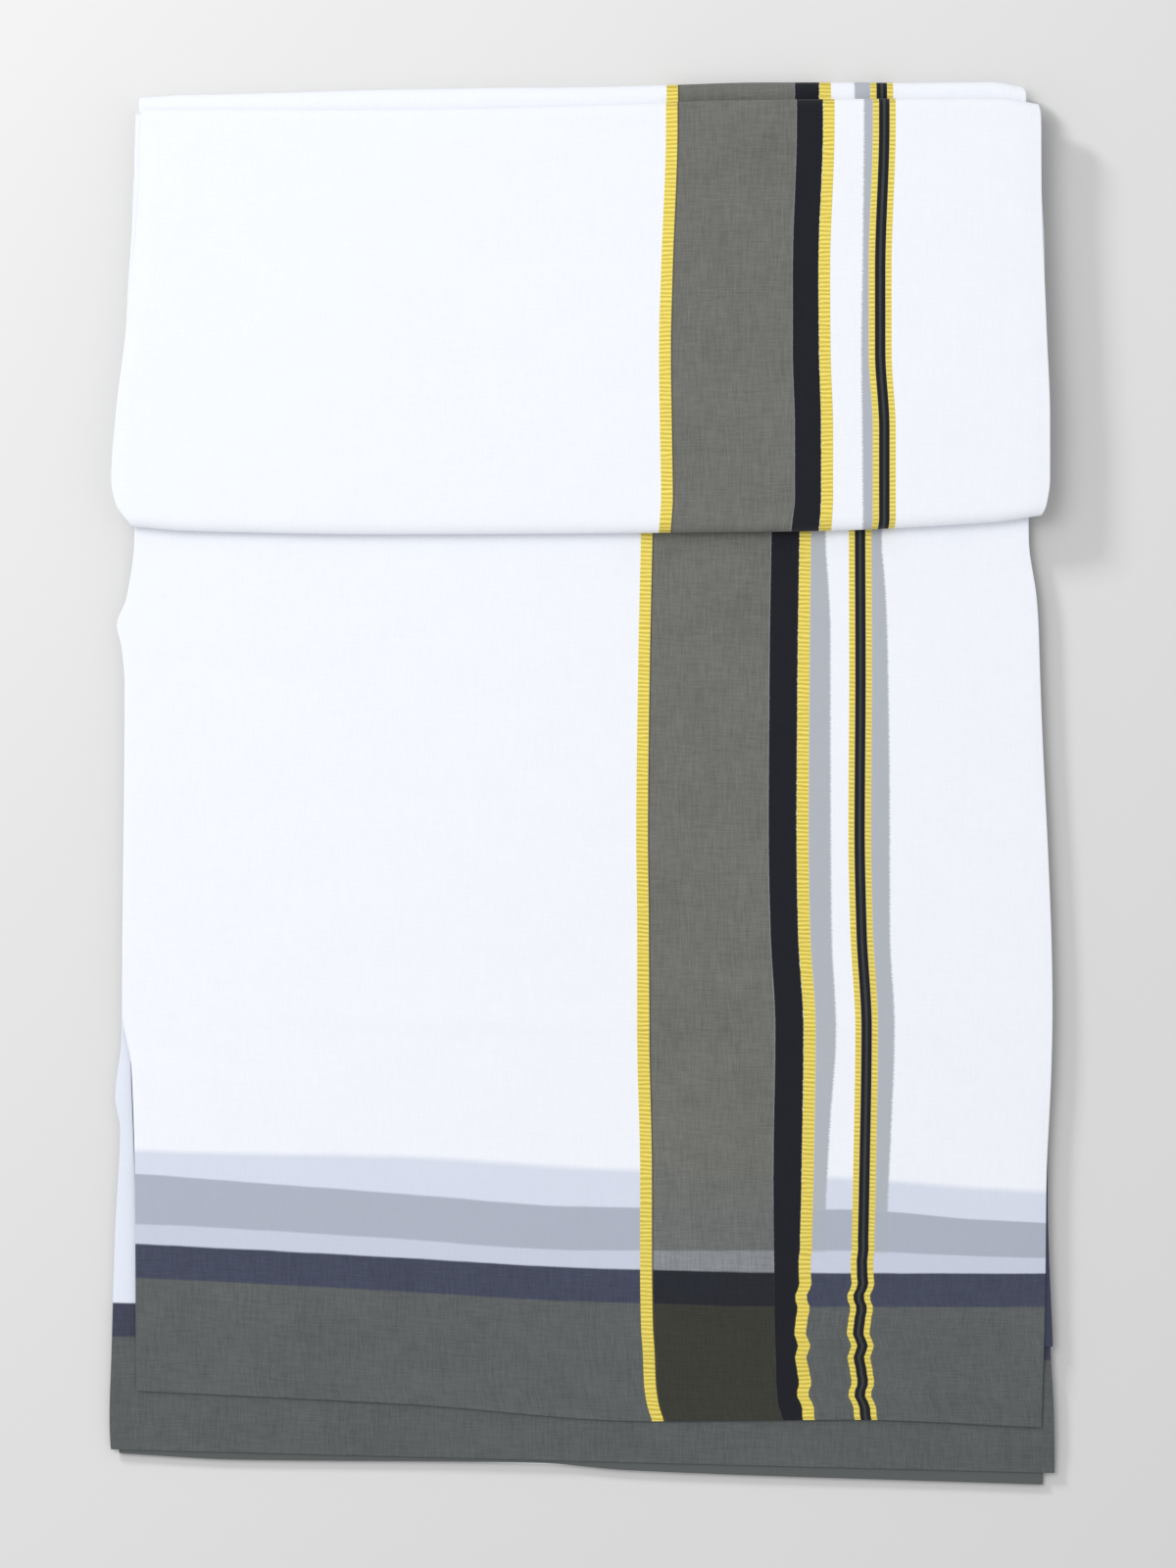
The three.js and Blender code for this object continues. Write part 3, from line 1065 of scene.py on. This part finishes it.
@dataclass
class BlockLayers:
    """The hidden panels of the block: one cloth folded to and fro, seen at its side edges."""

    layers: int = 12
    low: float = 7.2
    high: float = 14.05
    width: float = 420.0
    sides: Sides = Sides((
        (118, -206.5, 205.5), (140, -214.6, 213.0), (168, -213.4, 213.2), (208, -209.6, 212.2),
        (300, -205.0, 210.0),
    ))
    front_room: float = 5.0
    back_at: float = 305.5
    turn_steps: int = 4
    run_step: float = 9.0
    run_length: float = 190.0

    def path(self) -> list[tuple[float, float, int]]:
        """The zigzag in profile: (part of the way from front to back, height, layer)."""
        pitch = (self.high - self.low) / (self.layers - 1)
        runs = round(self.run_length / self.run_step)
        found: list[tuple[float, float, int]] = []
        for layer in range(self.layers):
            parts = np.linspace(0.0, 1.0, runs)
            if layer % 2:
                parts = parts[::-1]
            up = self.low + pitch * layer
            found += [(float(part), up, layer) for part in parts]
            if layer < self.layers - 1:
                over = 1.0 if layer % 2 == 0 else -1.0
                for step in range(1, self.turn_steps):
                    angle = math.pi * step / self.turn_steps
                    reach = over * pitch / 2 * math.sin(angle) / self.run_length
                    found.append((float(parts[-1]) + reach, up + pitch / 2 * (1 - math.cos(angle)), layer))
        return found

    def build(self, finish: bpy.types.Material) -> bpy.types.Object:
        """Makes the piece and ties it to the frame."""
        profile = self.path()
        edge = np.array([0, 0.5, 1.2, 2.4, 5.0, 12.0, 40.0, 110.0])
        fraction = np.concatenate([edge, [self.width / 2], (self.width - edge)[::-1]]) / self.width
        part = np.array([row[0] for row in profile])[:, None]
        up = np.array([row[1] for row in profile])[:, None] + np.zeros_like(fraction)[None, :]
        layer = np.array([row[2] for row in profile])
        front = Line(FLAP_FRONT).at(fraction)[None, :]
        centre, reach = (self.low + self.high) / 2, (self.high - self.low) / 2 + 0.5
        bulge = np.sqrt(np.clip(1 - ((up - centre) / reach) ** 2, 0.0, 1.0))
        start = front + FRONT_NOSE - self.front_room * bulge
        back = self.back_at + 3.2 * bulge * (up > 10.0)
        along = start + part * (back - start)
        rng = np.random.default_rng(17)
        shift = rng.uniform(-1.5, 0.7, (self.layers, 2))
        across = self.sides.at(along, fraction[None, :])
        near_left = 1 - eased(fraction, 0.0, 0.1)[None, :]
        near_right = eased(fraction, 0.9, 1.0)[None, :]
        wander = np.stack([Ripple(0.5, 95, 50 + k).at(along[:, 0] + 31 * k) for k in range(self.layers)])
        drift = wander[layer, np.arange(len(layer))][:, None]
        across = across + near_right * (shift[layer, 1][:, None] + drift)
        across = across - near_left * (shift[layer, 0][:, None] + drift)
        lift = np.stack([Ripple(0.1, 60, 80 + k).at(along[:, 0]) for k in range(self.layers)])
        up = up + lift[layer, np.arange(len(layer))][:, None] * (near_left + near_right)
        middle = np.stack([across, along, up], axis=-1)
        travelled = travelled_along(middle[:, len(fraction) // 2])
        weave = np.stack([
            across + BEFORE_BORDER, np.repeat(travelled[:, None] + BEYOND_BANDS, len(fraction), axis=1),
        ], axis=-1)
        patch = shell(middle, THIN_SHEET, weave, np.full_like(weave, FAR_FROM_SHADE))
        piece = make_piece("block_layers", [patch])
        settle(piece, "flap_layers", finish)
        return piece


@dataclass
class RearCloth:
    """The lower panel's fold behind the block, with the folds nested inside it."""

    width: float = 408.0
    thickness: float = 0.6
    nested: int = 3
    nest_step: float = 1.15
    nest_leg: float = 309.8
    fold_steps: int = 16
    sides: Sides = Sides(((303, -204.0, 204.0), (318, -204.0, 204.0), (324, -200.0, 200.5)))
    back: tuple[tuple[float, float], ...] = (
        (0, 316.4), (0.05, 317.6), (0.32, 320.4), (0.6, 322.2), (0.72, 323.5), (0.97, 323.5), (1, 321.4),
    )
    border: BorderGuide = BorderGuide(
        rows=((303, 38.7, 97.8, 108.9, 132.6), (324, 38.7, 97.8, 108.9, 132.6)),
        shades=((303, 125.2, NO_SECOND_SHADE), (324, 125.2, NO_SECOND_SHADE)), shade_is_beyond=True,
    )

    def fold(self, nest: int) -> tuple[Patch, float]:
        """One fold, the outer one or one nested in it, and its length."""
        low_corner, high_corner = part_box("rear_fold")
        shrink = nest * self.nest_step
        low, high = low_corner.z / MM + shrink, high_corner.z / MM - shrink
        fraction = spaced(self.width, 4.0) / self.width
        wander = Ripple(0.25, 140, 60 + nest).at(fraction * self.width)
        tip = Line(self.back).at(fraction) - 1.3 * shrink + wander
        leg = np.full_like(fraction, self.nest_leg if nest else REAR_LEG)
        inset = self.thickness / 2
        depth = REAR_NOSE - 0.5 * shrink
        rows = [(leg, np.full_like(fraction, high - inset))]
        for step in range(self.fold_steps + 1):
            turn = 1 - step / self.fold_steps
            along, up = fold_point(tip, depth, low, high, inset, turn, 1)
            rows.append((np.maximum(along, leg + 0.3), np.full_like(fraction, up)))
        rows.append((leg, np.full_like(fraction, low + inset)))
        along = np.array([row[0] for row in rows])
        up = np.array([row[1] for row in rows])
        across = self.sides.at(along, fraction[None, :]) * (1 - 0.003 * nest)
        middle = np.stack([across, along, up], axis=-1)
        travelled = travelled_along(middle[:, len(fraction) // 2])
        weave = np.stack([
            self.border.cloth_across(across, along),
            np.repeat(travelled[:, None] + BEYOND_BANDS + 260, len(fraction), axis=1),
        ], axis=-1)
        under = np.stack(self.border.shade_places(across, along), axis=-1)
        return shell(middle, self.thickness, weave, under), float(travelled[-1])

    def build(self, finish: bpy.types.Material) -> bpy.types.Object:
        """Makes the piece and ties it to the frame."""
        folds = [self.fold(nest) for nest in range(self.nested)]
        piece = make_piece("rear_cloth", [patch for patch, _ in folds])
        settle(piece, "rear_fold", finish)
        return piece


# ---- The table, the lamps and the camera ----------------------------------------------------


@dataclass(frozen=True)
class Lamp:
    """A soft rectangular lamp that points at the middle of the pile.

    Its fields are its name, its place and the length of its side in metres, its power in
    watts, and its colour.
    """

    name: str
    place: tuple[float, float, float]
    side: float
    power: float
    tint: tuple[float, float, float] = (1.0, 1.0, 1.0)

    def build(self) -> bpy.types.Object:
        """Makes the lamp."""
        data = bpy.data.lights.new(self.name, "AREA")
        data.shape = "SQUARE"
        data.size = self.side
        data.energy = self.power
        data.color = self.tint
        lamp = bpy.data.objects.new(self.name, data)
        lamp.location = self.place
        aim = -lamp.location
        lamp.rotation_euler = aim.to_track_quat("-Z", "Y").to_euler()
        bpy.context.scene.collection.objects.link(lamp)
        return lamp


@dataclass
class Studio:
    """The pale floor, the lamps and the camera over the pile, in metres."""

    floor_side: float = 9.0
    floor_drop: float = 0.00005
    floor_colour: tuple[float, float, float, float] = (0.535, 0.535, 0.535, 1.0)
    sky: float = 0.76
    key: Lamp = Lamp("key", (-0.95, 0.75, 1.9), 1.3, 23.0)
    raking: Lamp = Lamp("raking", (-1.9, 1.9, 1.02), 0.42, 72.0)
    camera_height: float = 2.6
    camera_across: float = 0.0025
    frame_height: float = 0.7245
    sensor: float = 36.0

    def build_floor(self) -> bpy.types.Object:
        """Makes the floor, a little below the cloth so that the two don't share a face."""
        half = self.floor_side / 2
        mesh = bpy.data.meshes.new("floor")
        corners = [(-half, -half), (half, -half), (half, half), (-half, half)]
        mesh.from_pydata([(x, y, -self.floor_drop) for x, y in corners], [], [(0, 1, 2, 3)])
        floor = bpy.data.objects.new("floor", mesh)
        bpy.context.scene.collection.objects.link(floor)
        board = Board("pale_floor")
        place = board.add("ShaderNodeTexCoord").outputs["Object"]
        cloud = board.add("ShaderNodeTexNoise", {"Vector": place, "Scale": 3.0, "Detail": 3.0}).outputs[0]
        tone = board.math("MULTIPLY_ADD", cloud, 0.012, 0.994)
        tone = board.add("ShaderNodeCombineXYZ", {0: tone, 1: tone, 2: tone}).outputs[0]
        colour = board.blend(1.0, self.floor_colour, tone, "MULTIPLY")
        inputs = {"Base Color": colour, "Roughness": 0.95, "Specular IOR Level": 0.0}
        shader = board.add("ShaderNodeBsdfPrincipled", inputs)
        board.add("ShaderNodeOutputMaterial", {"Surface": shader.outputs[0]})
        mesh.materials.append(board.material)
        return floor

    def build_lamps(self, floor: bpy.types.Object) -> None:
        """Makes the sky, the key lamp and the lamp that throws the shadow on the floor."""
        world = bpy.data.worlds.new("studio")
        world.use_nodes = True
        background = world.node_tree.nodes["Background"]
        background.inputs["Color"].default_value = (1.0, 1.0, 1.0, 1.0)
        background.inputs["Strength"].default_value = self.sky
        bpy.context.scene.world = world
        self.key.build()
        raking = self.raking.build()
        lit = bpy.data.collections.new("lit_by_raking")
        lit.objects.link(floor)
        raking.light_linking.receiver_collection = lit

    def build_camera(self) -> None:
        """Makes the camera, straight over the pile with +Y up the picture."""
        data = bpy.data.cameras.new("overhead")
        data.sensor_width = self.sensor
        data.lens = self.sensor * self.camera_height / self.frame_height
        data.clip_end = 50.0
        camera = bpy.data.objects.new("overhead", data)
        camera.location = (self.camera_across, 0.0, self.camera_height)
        bpy.context.scene.collection.objects.link(camera)
        bpy.context.scene.camera = camera
        bpy.context.scene.view_settings.view_transform = "Standard"


# ---- The cloth -----------------------------------------------------------------------------

THIRD = LaidCloth(
    name="third_cloth", node="end_third", slot=Slot.GREEN, flat=(423.0, 617.0),
    sides=Sides((
        (-323, -213.5, 212.2), (-240, -214.5, 213.6), (-110, -211.5, 214.8), (40, -210.2, 210.2),
        (110, -205.8, 205.0), (300, -203.0, 203.4),
    )),
    foot=((0, -308.6), (0.13, -311.6), (0.45, -313.0), (0.55, -316.4), (1, -323.1)),
    head=300.0, seen_to=118.0, rests_on=("base_cloth",), ripple=Ripple(0.12, 91, 3), grid=4.0,
    falls=(Fall(((0, -288.0), (1, -300.0)), 20.0, 0.3),),
)

SECOND = LaidCloth(
    name="second_cloth", node="end_second", slot=Slot.STRIPED, flat=(430.0, 622.0),
    sides=Sides((
        (-318, -216.8, 217.6), (-294, -218.0, 217.2), (-260, -217.0, 215.6), (-206, -215.4, 214.2),
        (-159, -213.1, 214.6), (-145, -215.4, 214.8), (-118, -212.6, 215.0), (40, -210.4, 210.4),
        (110, -206.0, 205.2), (310, -203.4, 203.6),
    )),
    foot=((0, -306.8), (1, -317.7)),
    head=308.0, seen_to=118.0, rests_on=("third_cloth",), ripple=Ripple(0.12, 77, 4), grid=3.2,
    falls=(Fall(((0, -290.0), (1, -300.0)), 14.0, 0.7),),
    bands=BandGuide(((-218, -239.3), (217, -250.2)), (0.0,)),
)

INNER = LaidCloth(
    name="inner_cloth", node="end_inner", slot=Slot.NAVY, flat=(423.0, 562.0),
    sides=Sides((
        (-260, -204.0, 216.6), (-189, -206.0, 214.2), (-110, -208.5, 215.2), (40, -210.2, 210.6),
        (110, -206.0, 205.2), (310, -203.2, 203.4),
    )),
    foot=((0, -249.0), (1, -259.3)),
    head=308.0, seen_to=118.0, rests_on=("second_cloth",), ripple=Ripple(0.1, 85, 5), grid=4.0,
)

BORDER = LaidCloth(
    name="border_cloth", node="end_face", slot=Slot.STRIPED, flat=(423.0, 598.0),
    sides=Sides((
        (-297, -205.4, 211.3), (-227, -205.8, 213.1), (-186, -206.0, 213.5), (-131, -207.6, 215.8),
        (-104, -212.0, 216.3), (45, -210.8, 210.8), (64, -212.4, 210.2), (73, -214.5, 209.9),
        (86, -209.9, 209.0), (113, -206.3, 205.4), (310, -203.6, 203.8),
    )),
    foot=((0, -279.6), (0.3, -285.8), (0.57, -293.6), (0.79, -292.9), (1, -296.4)),
    head=308.0, seen_to=124.0, rests_on=("inner_cloth",), ripple=Ripple(0.14, 97, 6),
    falls=(Fall(((0, -249.5), (1, -260.0)), 17.0, 1.2),),
    relief=Relief((
        Wave(0.16, 236.0, 62.0, 0.1), Wave(0.12, 148.0, 118.0, 0.55), Wave(0.08, 96.0, 20.0, 0.3),
        Crease((-203, 58.5), (-106, 44.0), -0.34, 2.6, 2.6, -1.5),
        Crease((-212, -120), (-141, -136), -0.36, 2.4, 2.4, 1.0),
        Crease((-208, -104), (216, -112), 0.42, 5.0, 1.7, -3.0),
        Crease((-150, 20), (-30, -58), 0.3, 13.0, 1.6, 6.0),
        Crease((-196, -10), (-118, -74), -0.25, 9.0, 1.8, -4.0),
        Crease((-95, 96), (6, 30), 0.26, 12.0, 1.5, 5.0),
        Crease((150, 88), (190, -60), 0.24, 10.0, 1.5, -6.0),
        Crease((-60, -130), (18, -206), 0.2, 11.0, 1.7, 4.0),
        Crease((160, -130), (206, -190), -0.2, 8.0, 1.5, 3.0),
    )),
    border=BorderGuide(
        rows=(
            (-293, 31.9, 92.6, 101.7, 125.7), (-286, 29.7, 90.3, 100.1, 123.8),
            (-276, 28.3, 89.4, 99.2, 123.4), (-263, 27.8, 89.0, 98.3, 122.9),
            (-249, 26.9, 88.7, 98.0, 122.5), (-222, 26.5, 88.3, 99.8, 123.8),
            (-181, 26.5, 87.8, 101.0, 124.7), (-113, 25.1, 88.7, 101.9, 125.7),
            (-68, 25.1, 86.5, 99.4, 123.4), (-23, 24.7, 85.6, 98.7, 122.5),
            (54, 25.6, 86.0, 99.2, 122.9), (115, 26.9, 86.9, 100.1, 122.7),
        ),
        shades=(
            (-193, 112.1, 140.6), (-159, 113.9, 142.2), (-113, 116.8, 143.8), (-68, 114.8, 141.7),
            (0, 114.3, 141.5), (72, 114.2, 140.4), (90, 113.4, 139.5), (108, 112.1, 137.9),
        ),
        pucker=0.75,
    ),
    bands=BandGuide((
        (-205, -212.0, -203.0, -179.5, -169.0), (-178.5, -213.3, -204.0, -181.5, -170.0),
        (-88, -218.0, -209.5, -188.5, -171.5), (2.5, -223.0, -215.0, -195.0, -177.0),
        (119, -225.5, -215.0, -196.0, -181.5), (179, -225.5, -217.5, -200.5, -186.0),
        (213, -225.5, -218.5, -202.5, -188.0),
    )),
)

FLAP = FlapCloth(relief=Relief((
    Wave(0.14, 190.0, 75.0, 0.2), Wave(0.1, 130.0, 140.0, 0.6),
    Crease((-175, 262), (-58, 190), 0.4, 14.0, 1.6, 6.0),
    Crease((-120, 300), (-95, 226), 0.28, 10.0, 1.5, -4.0),
    Crease((-40, 250), (18, 150), 0.26, 13.0, 1.4, 5.0),
    Crease((-205, 176), (-120, 150), -0.25, 8.0, 1.6, 3.0),
    Crease((150, 290), (196, 196), 0.26, 12.0, 1.5, -5.0),
    Crease((152, 172), (205, 140), -0.2, 9.0, 1.5, 2.0),
), lowest=-0.3))


def main() -> None:
    """Builds the cloth from the table up, then the studio round it."""
    logging.basicConfig(level=logging.INFO, format="%(name)s: %(message)s")
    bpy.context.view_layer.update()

    plain = one_colour("plain_cotton_weave", WHITE.colour)
    striped = CottonFinish("striped_cotton_weave", STRIPED_WEFT_AND_SHADE_BANDS, True).build()
    banded = CottonFinish("banded_cotton_weave", END_BANDS, False).build()
    green = one_colour("green_weave", paint(88, 92, 92))
    navy = one_colour("navy_weave", paint(60, 64, 84))

    BaseCloth().build(plain)
    THIRD.build(green)
    SECOND.build(banded)
    INNER.build(navy)
    BORDER.build(striped)
    BlockLayers().build(plain)
    FLAP.build(striped)
    RearCloth().build(striped)

    studio = Studio()
    floor = studio.build_floor()
    studio.build_lamps(floor)
    studio.build_camera()


if __name__ == "__main__":
    main()
